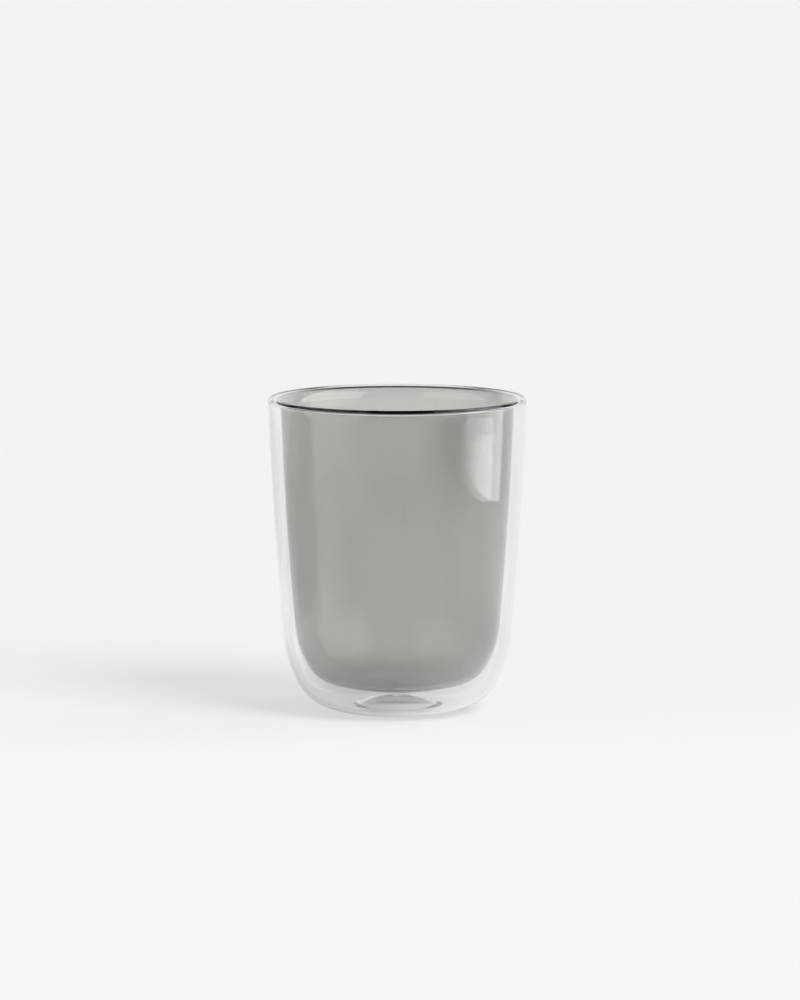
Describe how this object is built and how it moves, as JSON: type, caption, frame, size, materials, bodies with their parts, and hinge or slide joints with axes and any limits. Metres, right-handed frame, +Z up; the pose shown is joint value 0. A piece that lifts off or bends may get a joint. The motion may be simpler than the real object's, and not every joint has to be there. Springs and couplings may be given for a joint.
{
  "type": "double-walled cortado glass",
  "caption": "Double-walled cortado glass: a smoke-tinted cup fused at a thin rounded lip into a clear tapered shell with a rounded heel and a punted foot.",
  "frame": {"origin": "centre of the foot ring, on the surface that the glass stands on", "axes": "+Z up along the glass's axis of revolution; +X and +Y are alike"},
  "size_m": [0.074, 0.074, 0.0902],
  "materials": {
    "smoke_glass": "gloss",
    "clear_glass": "gloss"
  },
  "bodies": {
    "root": {"inner_cup": "smoke_glass", "outer_shell": "clear_glass", "rim_weld": "clear_glass", "vent_seal": "clear_glass"}
  },
  "joints": []
}
